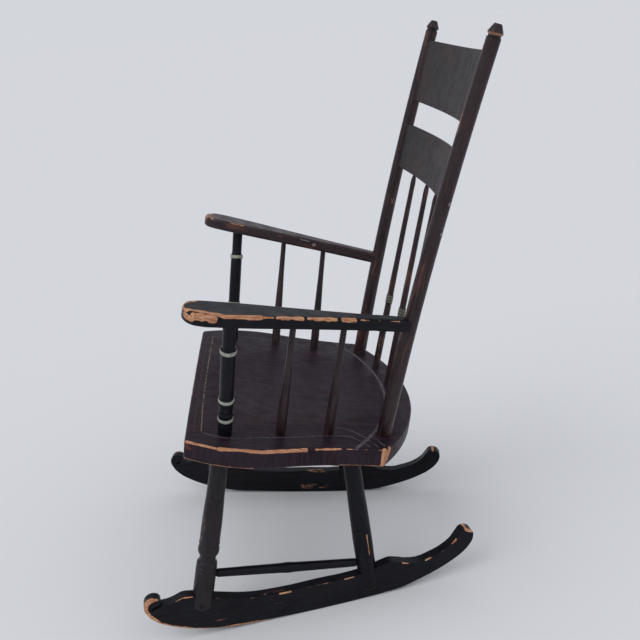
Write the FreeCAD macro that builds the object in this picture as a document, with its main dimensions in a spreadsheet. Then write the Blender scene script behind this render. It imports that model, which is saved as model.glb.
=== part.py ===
import FreeCAD, Part

import math
import os

import Sketcher

# Boston rocking chair in turned and sawn wood: a plank seat that slopes back, four legs that straddle
# two sawn rockers, two paddle arms on turned posts and spindles, and a high back of two bent slats and
# four spindles between two bent stiles. Sitter faces -Y, left is the sitter's left (+X), Z is up.

Vector = FreeCAD.Vector
Rotation = FreeCAD.Rotation
Placement = FreeCAD.Placement

doc = FreeCAD.newDocument("RockingChair")

# Driving dimensions in millimetres, angles in degrees.
SIZES = {
    # Seat plank. Its own frame lies on the top face, tilted back, with y running rearwards.
    "seat_height": 380.0,
    "seat_tilt": 10.8,
    "seat_thickness": 36.0,
    "seat_front_reach": 219.0,
    "seat_back_reach": 216.0,
    "seat_front_half": 253.5,
    "seat_front_bow": 1.5,
    "seat_waist_half": 268.5,
    "seat_waist_ahead": 52.0,
    "seat_side_swell": 15.6,
    "seat_side_hollow": 6.1,
    "seat_corner_half": 244.5,
    "seat_corner_behind": 133.0,
    "seat_corner_round": 7.0,
    "seat_top_round": 5.0,
    "seat_under_round": 6.0,
    "dish_radius": 168.0,
    "dish_depth": 7.0,
    "dish_ahead": 22.0,
    "gutter_bend": 396.0,
    "gutter_behind": 163.5,
    "gutter_sweep": 58.0,
    "gutter_tool": 3.2,
    "gutter_depth": 1.4,
    # Fits
    "fit": 0.1,
    "end_gap": 0.5,
    # Rockers
    "rocker_thickness": 22.0,
    "rocker_radius": 2100.0,
    "rocker_height": 58.0,
    "rocker_toe_in": 9.64,
    "rocker_spread_half": 197.7,
    "rocker_low_y": 25.0,
    "rocker_low_ahead": 20.4,
    "rocker_front_run": 250.0,
    "rocker_back_run": 110.0,
    "rocker_nose_reach": 369.3,
    "rocker_nose_height": 91.5,
    "rocker_nose_knob": 16.8,
    "rocker_tail_reach": 278.3,
    "rocker_tail_height": 91.5,
    "rocker_tail_knob": 17.8,
    "rocker_round": 2.5,
    # Legs
    "front_foot_along": 266.6,
    "front_foot_clear": 62.0,
    "front_pin_height": 75.0,
    "front_leg_top_x": 205.0,
    "front_leg_top_ahead": 155.5,
    "front_leg_radius": 19.5,
    "front_leg_tenon": 12.0,
    "rear_foot_along": 59.7,
    "rear_foot_clear": 19.0,
    "rear_pin_height": 36.0,
    "rear_leg_top_x": 155.0,
    "rear_leg_top_behind": 79.0,
    "rear_leg_radius": 18.6,
    "rear_leg_tenon": 14.0,
    "leg_tenon_depth": 26.0,
    "pin_radius": 4.0,
    # Stretchers
    "side_stretcher_front_height": 128.0,
    "side_stretcher_rear_height": 73.5,
    "front_stretcher_height": 168.0,
    "rear_stretcher_height": 150.0,
    "stretcher_radius": 9.2,
    "stretcher_tenon": 6.2,
    "stretcher_tenon_depth": 14.0,
    # Arms
    "arm_joint_height": 569.8,
    "arm_tip_x": 302.4,
    "arm_tip_ahead": 183.5,
    "arm_tip_height": 669.5,
    "arm_roll": 5.0,
    "arm_thickness": 22.0,
    "arm_start": 5.0,
    "arm_rear_half": 12.5,
    "arm_front_half": 31.0,
    "arm_round": 5.0,
    "arm_tenon": 8.0,
    "arm_tenon_depth": 9.0,
    # Arm posts and arm spindles
    "post_foot_x": 220.2,
    "post_foot_ahead": 151.5,
    "post_along_arm": 318.0,
    "post_radius": 12.6,
    "post_tenon": 8.0,
    "spindle_foot_x_front": 208.4,
    "spindle_foot_ahead_front": 53.5,
    "spindle_along_arm_front": 211.0,
    "spindle_foot_x_rear": 197.6,
    "spindle_foot_behind_rear": 33.5,
    "spindle_along_arm_rear": 121.0,
    "arm_spindle_radius": 9.2,
    "arm_spindle_top": 5.2,
    "seat_socket_depth": 22.0,
    "arm_socket_depth": 13.0,
    # Back
    "stile_foot_x": 188.0,
    "stile_foot_behind": 137.0,
    "stile_top_x": 228.0,
    "stile_top_y": 323.5,
    "stile_top_height": 1026.0,
    "stile_bow": 8.0,
    "stile_root": 10.0,
    "stile_foot_radius": 13.6,
    "stile_top_radius": 11.6,
    "stile_tenon": 9.5,
    "finial_radius": 12.0,
    "finial_length": 20.0,
    "crest_drop": 130.7,
    "crest_width": 120.0,
    "slat_drop": 261.6,
    "slat_width": 89.0,
    "slat_thickness": 10.0,
    "slat_bow": 31.0,
    "slat_round": 2.5,
    "slat_shy": 2.0,
    "back_spindle_radius": 7.4,
    "back_spindle_neck": 5.6,
    "back_spindle_tip": 3.0,
    "back_spindle_foot_behind": 162.0,
    "back_spindle_foot_pitch": 75.2,
    "back_spindle_head_pitch": 85.0,
    "back_spindle_tip_depth": 8.0,
}

# Size cells: plain numbers with a name each
sheet = doc.addObject("Spreadsheet::Sheet", "Sizes")


class Size:
    """A number together with the sheet expression that gives it."""

    def __init__(self, value, text):
        self.value = value
        self.text = text

    def combine(self, other, sign, value, swap=False):
        text = other.text if isinstance(other, Size) else repr(float(other))
        first, second = (text, self.text) if swap else (self.text, text)
        return Size(value, "(%s %s %s)" % (first, sign, second))

    def __add__(self, other):
        return self.combine(other, "+", self.value + number(other))

    def __radd__(self, other):
        return self.combine(other, "+", self.value + number(other), True)

    def __sub__(self, other):
        return self.combine(other, "-", self.value - number(other))

    def __rsub__(self, other):
        return self.combine(other, "-", number(other) - self.value, True)

    def __mul__(self, other):
        return self.combine(other, "*", self.value * number(other))

    def __rmul__(self, other):
        return self.combine(other, "*", self.value * number(other), True)

    def __truediv__(self, other):
        return self.combine(other, "/", self.value / number(other))

    def __neg__(self):
        return Size(-self.value, "(0 - %s)" % self.text)


def number(value):
    return value.value if isinstance(value, Size) else float(value)


def cell(name, value):
    """Writes one named number in the sheet and returns it as a Size."""
    row = cell.rows = cell.rows + 1
    sheet.set("A%d" % row, name)
    sheet.set("B%d" % row, "%.6f" % value)
    sheet.setAlias("B%d" % row, name)
    return Size(round(value, 6), "Sizes.%s" % name)


cell.rows = 0
S = {name: cell(name, value) for name, value in SIZES.items()}
doc.recompute()


def val(name):
    return S[name].value


def bind(thing, prop, size):
    """Sets a property, and ties it to the sheet where the value comes from there."""
    setattr(thing, prop, number(size))
    if isinstance(size, Size):
        thing.setExpression(prop, size.text)


# Frames and points of the chair

SEAT = Placement(Vector(0, -4, val("seat_height")), Rotation(Vector(1, 0, 0), -val("seat_tilt")))


def on_seat(x, y):
    """Point on the seat's top face, from the seat's own coordinates."""
    return SEAT.multVec(Vector(x, y, 0))


def under_seat(x, y):
    return SEAT.multVec(Vector(x, y, -val("seat_thickness")))


def aim(start, end, back=Vector(0, 1, 0)):
    """Placement at start with its z axis towards end and its y axis as near to back as it can be."""
    return Placement(start, Rotation(Vector(0, 0, 0), back, end - start, "ZYX"))


def between(start, end, share):
    return start + (end - start) * share


def rocker_frame(side):
    """Frame of a rocker: on the floor between the legs, y rearwards along the blade."""
    base = Vector(side * val("rocker_spread_half"), val("rocker_low_y"), 0)
    return Placement(base, Rotation(Vector(0, 0, 1), side * val("rocker_toe_in")))


def on_rocker(side, along, height):
    return rocker_frame(side).multVec(Vector(0, along, height))


def rocker_arc(along):
    """Height of the rocker's sole over the floor. It touches under the chair's centre of mass."""
    from_low = along + val("rocker_low_ahead")
    return val("rocker_radius") - math.sqrt(val("rocker_radius") ** 2 - from_low ** 2)


class Stile:
    """Centre line of one back stile: a shallow arc from the seat to the finial."""

    def __init__(self, side):
        self.seated = on_seat(side * val("stile_foot_x"), val("stile_foot_behind"))
        self.top = Vector(side * val("stile_top_x"), val("stile_top_y"), val("stile_top_height"))
        self.foot = self.seated - (self.top - self.seated).normalize() * val("stile_root")
        self.frame = aim(self.foot, self.top)
        self.length = (self.top - self.foot).Length

    def at(self, share):
        """Point at a share of the chord; the middle bows forwards."""
        bow = -4 * val("stile_bow") * share * (1 - share)
        return self.frame.multVec(Vector(0, bow, share * self.length))

    def along(self, share):
        slope = -4 * val("stile_bow") * (1 - 2 * share) / self.length
        return self.frame.Rotation.multVec(Vector(0, slope, 1)).normalize()

    def share_at(self, height):
        """Share of the chord at which the centre line is at a height over the floor."""
        low, high = 0.0, 1.0
        for _ in range(40):
            middle = (low + high) / 2
            if self.at(middle).z < height:
                low = middle
            else:
                high = middle
        return (low + high) / 2

    def at_height(self, height):
        return self.at(self.share_at(height))

    def radius_at(self, share):
        return val("stile_foot_radius") + (val("stile_top_radius") - val("stile_foot_radius")) * share


class Arm:
    """Frame of one arm: origin on the stile's centre line, y forwards along the arm, z up."""

    def __init__(self, side):
        self.joint = Stile(side).at_height(val("arm_joint_height"))
        tip = Vector(side * val("arm_tip_x"), -val("arm_tip_ahead"), val("arm_tip_height"))
        forward = tip - self.joint
        self.length = forward.Length
        level = Rotation(Vector(0, 0, 0), forward, Vector(0, 0, 1), "YZX")
        outer_edge_down = Rotation(Vector(0, 1, 0), -side * val("arm_roll"))
        self.frame = Placement(self.joint, level.multiply(outer_edge_down))

    def under(self, along):
        return self.frame.multVec(Vector(0, along, -val("arm_thickness") / 2))


SIDES = {"left": 1, "right": -1}
stiles = {name: Stile(side) for name, side in SIDES.items()}
arms = {name: Arm(side) for name, side in SIDES.items()}


# Drawing helpers

def place_axis(sketch, rules, where, value, geo, pos):
    """Holds one coordinate of a vertex: on the axis when zero, otherwise at its distance from it."""
    if abs(number(value)) < 1e-9:
        rules.append((Sketcher.Constraint("PointOnObject", geo, pos, -2 if where == "X" else -1), None))
        return
    rule = Sketcher.Constraint("Distance" + where, -1, 1, geo, pos, number(value))
    rules.append((rule, value if isinstance(value, Size) else None))


def draw(sketch, corners, tied=True):
    """Draws a closed outline. Each corner is (x, y, bulge of the stretch after it), and a bulge is how far
    the middle of that stretch bows to the right of the way it runs: 0 is straight. A tied outline keeps its
    corners by constraints, and follows the sheet by itself."""
    lines = []
    ends = []
    rules = []
    count = len(corners)
    for index, (x, y, bulge) in enumerate(corners):
        following = corners[(index + 1) % count]
        start = Vector(number(x), number(y), 0)
        end = Vector(number(following[0]), number(following[1]), 0)
        bow = number(bulge)
        if bow == 0:
            lines.append(Part.LineSegment(start, end))
            ends.append((index, 1, 2))
            continue
        chord = end - start
        side = Vector(chord.y, -chord.x, 0).normalize()
        lines.append(Part.Arc(start, between(start, end, 0.5) + side * bow, end))
        ends.append((index, 1, 2) if bow > 0 else (index, 2, 1))
        rise = bulge if bow > 0 else bulge * -1
        wide, tall = following[0] - x, following[1] - y
        radius = ((wide * wide + tall * tall) / 4 + rise * rise) / (rise * 2)
        rule = Sketcher.Constraint("Radius", index, number(radius))
        rules.append((rule, radius if isinstance(radius, Size) else None))
    for index, (geo, first, last) in enumerate(ends):
        next_geo, next_first, _ = ends[(index + 1) % count]
        rules.append((Sketcher.Constraint("Coincident", geo, last, next_geo, next_first), None))
        place_axis(sketch, rules, "X", corners[index][0], geo, first)
        place_axis(sketch, rules, "Y", corners[index][1], geo, first)
    sketch.addGeometry(lines)
    if not tied:
        return
    sketch.addConstraint([rule for rule, _ in rules])
    for index, (_, size) in enumerate(rules):
        if size is not None:
            sketch.setExpression("Constraints[%d]" % index, size.text)


def way_through(before, here, after):
    """Direction at a point of the circle through it and its two neighbours."""
    a, b = here - before, after - here
    mixed = a * (b.Length / a.Length) + b * (a.Length / b.Length)
    return mixed.normalize()


def bulge_of(way, chord):
    """Bulge of the arc that leaves along way and ends at the far end of chord."""
    turn = math.atan2(way.x * chord.y - way.y * chord.x, way.x * chord.x + way.y * chord.y)
    return chord.Length / 2 * math.tan(turn / 2)


def flowing(points):
    """Corners of a smooth outline of arcs. A point is (x, y), or (x, y, "sharp") for a real corner; two arcs
    that meet smoothly join each point to the next."""
    spots = [Vector(number(point[0]), number(point[1]), 0) for point in points]
    count = len(spots)
    ways = []
    for index, point in enumerate(points):
        sharp = len(point) > 2
        following = spots[(index + 1) % count]
        ways.append(None if sharp else way_through(spots[index - 1], spots[index], following))
    corners = []
    for index, (start, first) in enumerate(zip(spots, ways)):
        end, second = spots[(index + 1) % count], ways[(index + 1) % count]
        here = points[index][:2]
        chord = end - start
        if first is None and second is None:
            corners.append(here + (0,))
            continue
        if first is None or second is None:
            bulge = bulge_of(first, chord) if second is None else bulge_of(second * -1, chord * -1) * -1
            corners.append(here + (bulge,))
            continue
        both = first + second
        spread = 2 * (1 - first.dot(second))
        lean = chord.dot(both)
        if spread > 1e-9:
            reach = (math.sqrt(lean ** 2 + spread * chord.dot(chord)) - lean) / spread
        else:
            reach = chord.dot(chord) / (2 * lean)
        middle = (start + end + (first - second) * reach) / 2
        bulges = (bulge_of(first, middle - start), bulge_of(second * -1, middle - end) * -1)
        corners.append(here + (bulges[0] if abs(bulges[0]) > 1e-5 else 0,))
        corners.append((middle.x, middle.y, bulges[1] if abs(bulges[1]) > 1e-5 else 0))
    return corners


def origin_plane(body, role):
    return [plane for plane in body.Origin.OriginFeatures if plane.Role == role][0]


def new_body(label, frame):
    body = doc.addObject("PartDesign::Body", label)
    body.Label = label
    body.Placement = frame
    return body


def new_sketch(body, name, role):
    sketch = body.newObject("Sketcher::SketchObject", name)
    sketch.AttachmentSupport = (origin_plane(body, role), [""])
    sketch.MapMode = "FlatFace"
    return sketch


def turned(label, frame, stations):
    """A lathe-turned piece about its z axis. A station is (height, radius, bulge up to the next station)."""
    body = new_body(label, frame)
    sketch = new_sketch(body, label + "_profile", "XZ_Plane")
    bottom, top = stations[0], stations[-1]
    corners = [(0, bottom[0], 0)]
    corners += [(radius, height, bulge) for height, radius, bulge in stations[:-1]]
    corners += [(top[1], top[0], 0), (0, top[0], 0)]
    draw(sketch, corners)
    spin = body.newObject("PartDesign::Revolution", label + "_turning")
    spin.Profile = sketch
    spin.ReferenceAxis = (sketch, ["V_Axis"])
    spin.Angle = 360
    return body


def rod(name, start, end, radius):
    """A plain round tool or tenon from start to end."""
    piece = doc.addObject("Part::Cylinder", name)
    bind(piece, "Radius", radius)
    piece.Height = (end - start).Length
    piece.Placement = aim(start, end)
    return piece


def block(name, frame, width, depth, height):
    """A box centred on its frame's x and y, rising from the frame's origin along z."""
    piece = doc.addObject("Part::Box", name)
    piece.Length = width
    piece.Width = depth
    piece.Height = height
    piece.Placement = frame.multiply(Placement(Vector(-width / 2, -depth / 2, 0), Rotation()))
    return piece


def cut(label, base, tools):
    """Base less all its tools; the result takes the label."""
    if len(tools) == 1:
        tool = tools[0]
    else:
        tool = doc.addObject("Part::MultiFuse", label + "_tools")
        tool.Shapes = tools
    result = doc.addObject("Part::Cut", label)
    result.Base = base
    result.Tool = tool
    result.Label = label
    return result


def join(label, pieces):
    result = doc.addObject("Part::MultiFuse", label)
    result.Shapes = pieces
    result.Refine = True
    result.Label = label
    return result


def socket(name, mouth, inside, radius, depth):
    """A drill for a blind round hole: it starts outside the mouth and ends at depth plus the end gap."""
    way = (inside - mouth).normalize()
    start = mouth - way * SOCKET_OVERRUN
    end = mouth + way * (number(depth) + val("end_gap"))
    return rod(name, start, end, radius + S["fit"])


def round_edges(label, base, radius, chosen):
    """Rounds those edges of a solid that the chosen test picks."""
    doc.recompute()
    result = doc.addObject("Part::Fillet", label)
    result.Base = base
    edges = [number_ for number_, edge in enumerate(base.Shape.Edges, 1) if chosen(edge)]
    result.Edges = [(index, number(radius), number(radius)) for index in edges]
    result.Label = label
    return result


SOCKET_OVERRUN = 12.0
TRIM = 90.0

pieces = {}
seat_tools = []
leg_tools = {}
arm_tools = {name: [] for name in SIDES}


# Rockers: a sawn blade with a scrolled nose, a saddle at each leg and a knob at the tail

def around(centre_x, centre_y, radius, *angles):
    """Points of a knob, by their angles in degrees."""
    return [(centre_x + radius * math.cos(math.radians(angle)), centre_y + radius * math.sin(math.radians(angle)))
            for angle in angles]


def rocker_outline():
    nose, nose_z, nose_r = S["rocker_nose_reach"] * -1, S["rocker_nose_height"], S["rocker_nose_knob"]
    tail, tail_z, tail_r = S["rocker_tail_reach"], S["rocker_tail_height"], S["rocker_tail_knob"]
    top = S["rocker_height"]
    front, back = -val("rocker_front_run"), val("rocker_back_run")
    sole = [(along, rocker_arc(along)) for along in (front, front / 2, 0, back * 0.6, back * 0.92, back)]
    sweep_up = [(tail - 110.8, tail_z - 74.2), (tail - 80.5, tail_z - 64.0), (tail - 50.2, tail_z - 50.7),
                (tail - 27.5, tail_z - 37.6), (tail - 11.5, tail_z - 23.5)]
    tail_knob = around(tail - tail_r, tail_z, tail_r, -25, 20, 65, 110)
    saddle_back = [(tail - 33.3, tail_z + 6.6), (tail - 42.8, tail_z - 5.6), (tail - 66.4, tail_z - 21.4),
                   (189.7, top + 4.3), (162.5, top - 1.4), (140, top + 1.8), (121, top + 8.6),
                   (105.9, top + 12.8), (88, top + 10.2), (58, top + 2.4), (24, top - 0.8)]
    saddle_front = [(-40, top - 0.3), (-106.5, top - 0.4), (-172.4, top + 4.8), (-240, top + 23.6),
                    (-279.6, top + 37.2), (-298.5, top + 39.6), (-311, top + 35.4), (-322, top + 32.2)]
    saw_cut = [(nose + 33.0, nose_z - 1.9, "sharp"), (nose + 12.4, nose_z - 8.0, "sharp"),
               (nose + 11.9, nose_z - 4.6, "sharp"), (nose + 31.5, nose_z + 4.4, "sharp")]
    nose_knob = around(nose + nose_r, nose_z, nose_r, 41, 86, 130, 175)
    curl = [(nose + 5.7, nose_z - 20.0), (nose + 19.6, nose_z - 36.7), (nose + 43.0, nose_z - 52.0),
            (nose + 78.0, nose_z - 67.2)]
    return flowing(sole + sweep_up + tail_knob + saddle_back + saddle_front + saw_cut + nose_knob + curl)


def rocker_blade(name, side, thickness, lift):
    """The sawn blade, or with a wider thickness and a lift, the tool that slots the legs over it."""
    frame = rocker_frame(side)
    body = new_body(name, frame.multiply(Placement(Vector(0, 0, lift), Rotation())))
    sketch = new_sketch(body, name + "_outline", "YZ_Plane")
    draw(sketch, rocker_outline(), tied=False)
    pad = body.newObject("PartDesign::Pad", name + "_pad")
    pad.Profile = sketch
    bind(pad, "Length", thickness)
    pad.Midplane = True
    return body


def blade_arris(side):
    """Picks the long edges of a blade: those that lie wholly in one of its two faces."""
    frame = rocker_frame(side).inverse()
    half = val("rocker_thickness") / 2

    def chosen(edge):
        flats = [abs(abs(frame.multVec(vertex.Point).x) - half) < 1e-4 for vertex in edge.Vertexes]
        across = [frame.multVec(vertex.Point).x for vertex in edge.Vertexes]
        notch = [frame.multVec(vertex.Point) for vertex in edge.Vertexes]
        in_scroll = any(abs(point.y + val("rocker_nose_reach") - 12) < 3 and
                        abs(point.z - val("rocker_nose_height") + 6) < 3 for point in notch)
        return all(flats) and max(across) - min(across) < 1e-4 and not in_scroll

    return chosen


pins = []
for name, side in SIDES.items():
    blade = rocker_blade("rocker_blade_" + name, side, S["rocker_thickness"], 0)
    eased = round_edges("rocker_eased_" + name, blade, S["rocker_round"], blade_arris(side))
    holes = []
    for which, along, height, half in (
        ("front", -val("front_foot_along"), val("front_pin_height"), val("front_leg_radius")),
        ("rear", val("rear_foot_along"), val("rear_pin_height"), val("rear_leg_radius")),
    ):
        out = rocker_frame(side).Rotation.multVec(Vector(1, 0, 0))
        centre = on_rocker(side, along, height)
        holes.append(rod("pin_hole_%s_%s" % (which, name), centre - out * 40, centre + out * 40,
                         S["pin_radius"] + S["fit"]))
        reach = half - 1.0
        pins.append(rod("pin_%s_%s" % (which, name), centre - out * reach, centre + out * reach,
                        S["pin_radius"]))
        leg_tools[which + "_" + name] = [holes[-1]]
    pieces["rocker_" + name] = cut("rocker_" + name, eased, holes)
    slot_width = S["rocker_thickness"] + S["fit"] * 2
    slot = rocker_blade("rocker_slot_" + name, side, slot_width, val("fit"))
    for which in ("front", "rear"):
        leg_tools[which + "_" + name].append(slot)

pieces["rocker_pins"] = doc.addObject("Part::Compound", "rocker_pins")
pieces["rocker_pins"].Links = pins
pieces["rocker_pins"].Label = "rocker_pins"


# Legs

def leg_line(which, side):
    """Foot and seat end of a leg's centre line."""
    if which == "front":
        foot = on_rocker(side, -val("front_foot_along"), val("front_foot_clear"))
        head = under_seat(side * val("front_leg_top_x"), -val("front_leg_top_ahead"))
    else:
        foot = on_rocker(side, val("rear_foot_along"), val("rear_foot_clear"))
        head = under_seat(side * val("rear_leg_top_x"), val("rear_leg_top_behind"))
    return foot, head


def at_level(line, height):
    """Point of a leg's centre line at a height over the floor."""
    foot, head = line
    return between(foot, head, (height - foot.z) / (head.z - foot.z))


def front_leg_stations(length):
    """Turned front leg from the foot up: cylinder, collar, neck, bulb, then a long taper to the seat."""
    r = S["front_leg_radius"]
    tenon = S["front_leg_tenon"]
    shoulder = length - 2.6
    return [
        (0, r - 5, 1.2),
        (5, r, 0),
        (77, r, 0),
        (78.5, r - 1, 0),
        (80, r, 0),
        (85.5, r - 0.2, 0),
        (87.3, r - 1.4, 0),
        (89, r - 0.5, 0.6),
        (95.5, r - 1.4, 0),
        (98, r - 3.8, -0.6),
        (110, r - 3.6, 0),
        (113, r - 1.2, 1.4),
        (127.5, r - 0.9, 0),
        (129.5, r - 2.2, 0),
        (131.5, r - 0.7, 0.6),
        (138, r - 0.9, 0.8),
        (222, r - 2.6, 0),
        (223.5, r - 3.6, 0),
        (225, r - 2.7, 0),
        (shoulder, r - 3.6, 0),
        (shoulder, tenon, 0),
        (length + S["leg_tenon_depth"], tenon, 0),
    ]


def rear_leg_stations(length):
    """Plainer rear leg: nearly a cylinder with two scribed rings."""
    r = S["rear_leg_radius"]
    tenon = S["rear_leg_tenon"]
    return [
        (0, r - 5, 1.2),
        (5, r, 0),
        (71, r, 0),
        (72.2, r - 0.8, 0),
        (73.4, r, 0.4),
        (127.4, r, 0),
        (128.6, r - 0.9, 0),
        (129.8, r, 0.4),
        (212, r - 1.8, 0.3),
        (length - 15, r - 2.6, 0),
        (length - 4.6, tenon + 0.4, 0),
        (length, tenon, 0),
        (length + S["leg_tenon_depth"], tenon, 0),
    ]


leg_lines = {}
leg_bodies = {}
for which, stations in (("front", front_leg_stations), ("rear", rear_leg_stations)):
    for name, side in SIDES.items():
        key = which + "_" + name
        foot, head = leg_line(which, side)
        leg_lines[key] = (foot, head)
        length = cell("%s_leg_length_%s" % (which, name), (head - foot).Length)
        leg_bodies[key] = turned("leg_turned_" + key, aim(foot, head), stations(length))
        seat_tools.append(socket("leg_socket_" + key, head, head + (head - foot),
                                 S[which + "_leg_tenon"], S["leg_tenon_depth"]))


# Stretchers

def stretcher_stations(length):
    r = S["stretcher_radius"]
    tenon = S["stretcher_tenon"]
    return [
        (0, tenon, 0),
        (S["stretcher_tenon_depth"] + 0.4, tenon, 0),
        (S["stretcher_tenon_depth"] + 3, r - 1.3, 0),
        (length / 2 - 14, r, 0.8),
        (length / 2 + 14, r, 0),
        (length - S["stretcher_tenon_depth"] - 3, r - 1.3, 0),
        (length - S["stretcher_tenon_depth"] - 0.4, tenon, 0),
        (length, tenon, 0),
    ]


def stretcher(label, first, second, start, end):
    """A stretcher between two legs: its tenons sit in both, start and end are on the legs' centre lines."""
    way = (end - start).normalize()
    first_half = val(first[0] + "_leg_radius")
    second_half = val(second[0] + "_leg_radius")
    depth = val("stretcher_tenon_depth")
    mouth = start + way * first_half
    far_mouth = end - way * second_half
    foot = mouth - way * depth
    length = cell(label + "_length", (far_mouth - mouth).Length + 2 * depth)
    piece = turned(label, aim(foot, end), stretcher_stations(length))
    leg_tools["_".join(first)].append(socket(label + "_socket_a", mouth, start, S["stretcher_tenon"], depth))
    leg_tools["_".join(second)].append(socket(label + "_socket_b", far_mouth, end, S["stretcher_tenon"],
                                              depth))
    pieces[label] = piece


for name in SIDES:
    stretcher("side_stretcher_" + name, ("front", name), ("rear", name),
              at_level(leg_lines["front_" + name], val("side_stretcher_front_height")),
              at_level(leg_lines["rear_" + name], val("side_stretcher_rear_height")))
for which in ("front", "rear"):
    height = val(which + "_stretcher_height")
    stretcher(which + "_stretcher", (which, "left"), (which, "right"),
              at_level(leg_lines[which + "_left"], height), at_level(leg_lines[which + "_right"], height))

for key, body in leg_bodies.items():
    which, name = key.split("_")
    label = "%s_leg_%s" % (which, name)
    pieces[label] = cut(label, body, leg_tools[key])


# Back stiles with turned finials

def finial_stations():
    r = S["finial_radius"]
    neck = S["stile_top_radius"]
    tall = S["finial_length"]
    return [
        (-3, neck - 1.5, 0),
        (3.2, neck - 1.5, 0),
        (5.4, r, 0.5),
        (8.6, r - 0.2, 0),
        (tall - 1.2, r * 0.55, 0),
        (tall, r * 0.47, 0),
    ]


stile_shafts = {}
for name, side in SIDES.items():
    stile = stiles[name]
    bow = S["stile_bow"]
    length = cell("stile_length_" + name, stile.length)
    spine = doc.addObject("Sketcher::SketchObject", "stile_spine_" + name)
    spine.Placement = stile.frame.multiply(Placement(Vector(0, 0, 0), Rotation(Vector(1, 1, 1), 120)))
    half = stile.length / 2
    arc = Part.Arc(Vector(0, 0, 0), Vector(-bow.value, half, 0), Vector(0, stile.length, 0))
    geo = spine.addGeometry(arc)
    arc_radius = (half ** 2 + bow.value ** 2) / (2 * bow.value)
    spine.addConstraint([
        Sketcher.Constraint("Coincident", geo, 2, -1, 1),
        Sketcher.Constraint("PointOnObject", geo, 1, -2),
        Sketcher.Constraint("DistanceY", -1, 1, geo, 1, stile.length),
        Sketcher.Constraint("Radius", geo, arc_radius),
    ])
    spine.setExpression("Constraints[2]", length.text)
    rings = []
    for end, share, radius in (("foot", 0.0, S["stile_foot_radius"]), ("top", 1.0, S["stile_top_radius"])):
        ring = doc.addObject("Part::Circle", "stile_ring_%s_%s" % (end, name))
        bind(ring, "Radius", radius)
        ring.Placement = aim(stile.at(share), stile.at(share) + stile.along(share))
        rings.append(ring)
    doc.recompute()
    shaft = doc.addObject("Part::Sweep", "stile_shaft_" + name)
    shaft.Sections = rings
    shaft.Spine = (spine, ["Edge1"])
    shaft.Solid = True
    stile_shafts[name] = shaft


stile_finials = {}
for name, stile in stiles.items():
    frame = aim(stile.top, stile.top + stile.along(1.0))
    stile_finials[name] = turned("stile_finial_" + name, frame, finial_stations())


# Slats: two boards bent to the sitter's back, let into the stiles

class Slat:
    """Frame of one slat: origin at the middle of its lower edge on the chord between the stiles, x to the
    left, y rearwards, z up the board."""

    def __init__(self, bottom_height, width):
        stile = stiles["left"]
        self.low_share = stile.share_at(bottom_height)
        low = stile.at(self.low_share)
        high = stile.at(self.low_share + width / stile.length)
        self.half_low, self.half_high = low.x, high.x
        low.x = 0
        high.x = 0
        self.frame = aim(low, high)
        self.width = width
        self.half = (self.half_low + self.half_high) / 2

    def rear_of_chord(self, x):
        """How far behind the chord the board's middle layer is at a distance from the centre."""
        bow = val("slat_bow")
        radius = (self.half ** 2 + bow ** 2) / (2 * bow)
        return math.sqrt(radius ** 2 - x ** 2) - (radius - bow)

    def under_edge(self, x, rise):
        """Point in the board's middle layer at a height over its lower edge."""
        return self.frame.multVec(Vector(x, self.rear_of_chord(x), rise))


SLATS = {
    "crest_slat": Slat(val("stile_top_height") - val("crest_drop"), val("crest_width")),
    "lower_slat": Slat(val("stile_top_height") - val("slat_drop"), val("slat_width")),
}
SLAT_WIDTHS = {"crest_slat": S["crest_width"], "lower_slat": S["slat_width"]}


def slat_board(name, label, grow, reach):
    """A bent board between the stiles, grown by a clearance; reach is how far its ends pass the wanted
    distance short of the stiles' centre lines."""
    slat = SLATS[label]
    past = slat.half + 22
    bow = slat.rear_of_chord(0) - slat.rear_of_chord(past)
    half_thick = (S["slat_thickness"] + grow * 2) / 2
    behind = slat.rear_of_chord(past)
    inner = bow * (1 - (number(half_thick) * 1.0) / slat_radius(slat))
    outer = bow * (1 + (number(half_thick) * 1.0) / slat_radius(slat))
    lean = number(half_thick) * past / slat_radius(slat)
    body = new_body(name, slat.frame.multiply(Placement(Vector(0, 0, -number(grow)), Rotation())))
    sketch = new_sketch(body, name + "_outline", "XY_Plane")
    front, back = behind - number(half_thick), behind + number(half_thick)
    draw(sketch, [
        (past - lean, front, 0),
        (past + lean, back, outer),
        (-past - lean, back, 0),
        (-past + lean, front, -inner),
    ])
    pad = body.newObject("PartDesign::Pad", name + "_pad")
    pad.Profile = sketch
    bind(pad, "Length", SLAT_WIDTHS[label] + grow * 2)
    eased = round_edges(name + "_eased", body, S["slat_round"], bent_edge)
    ends = []
    for side_name, side in SIDES.items():
        stile = stiles[side_name]
        low = stile.at(slat.low_share)
        high = stile.at(slat.low_share + slat.width / stile.length)
        turn = slat.half / slat_radius(slat)
        frame = aim(between(low, high, -0.3), high, Vector(side * turn, math.sqrt(1 - turn ** 2), 0))
        half = TRIM / 2
        shift = side * (half - val("slat_shy") + reach)
        tool = block("%s_end_%s" % (name, side_name), frame.multiply(Placement(Vector(shift, 0, 0), Rotation())),
                     TRIM, TRIM, slat.width * 1.6)
        ends.append(tool)
    return eased, ends


def slat_radius(slat):
    bow = val("slat_bow")
    return (slat.half ** 2 + bow ** 2) / (2 * bow)


def bent_edge(edge):
    return hasattr(edge.Curve, "Radius") and edge.Length > 100


stile_tools = {name: [] for name in SIDES}
for label in SLATS:
    board, ends = slat_board(label + "_board", label, S["slat_thickness"] * 0, 0)
    pieces[label] = (board, ends)
    tool, tool_ends = slat_board(label + "_mortise", label, S["fit"], val("end_gap"))
    mortise = cut(label + "_mortises", tool, tool_ends)
    for name in SIDES:
        stile_tools[name].append(mortise)


# Arms: sawn paddles, scribed to the stiles at the rear

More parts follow.
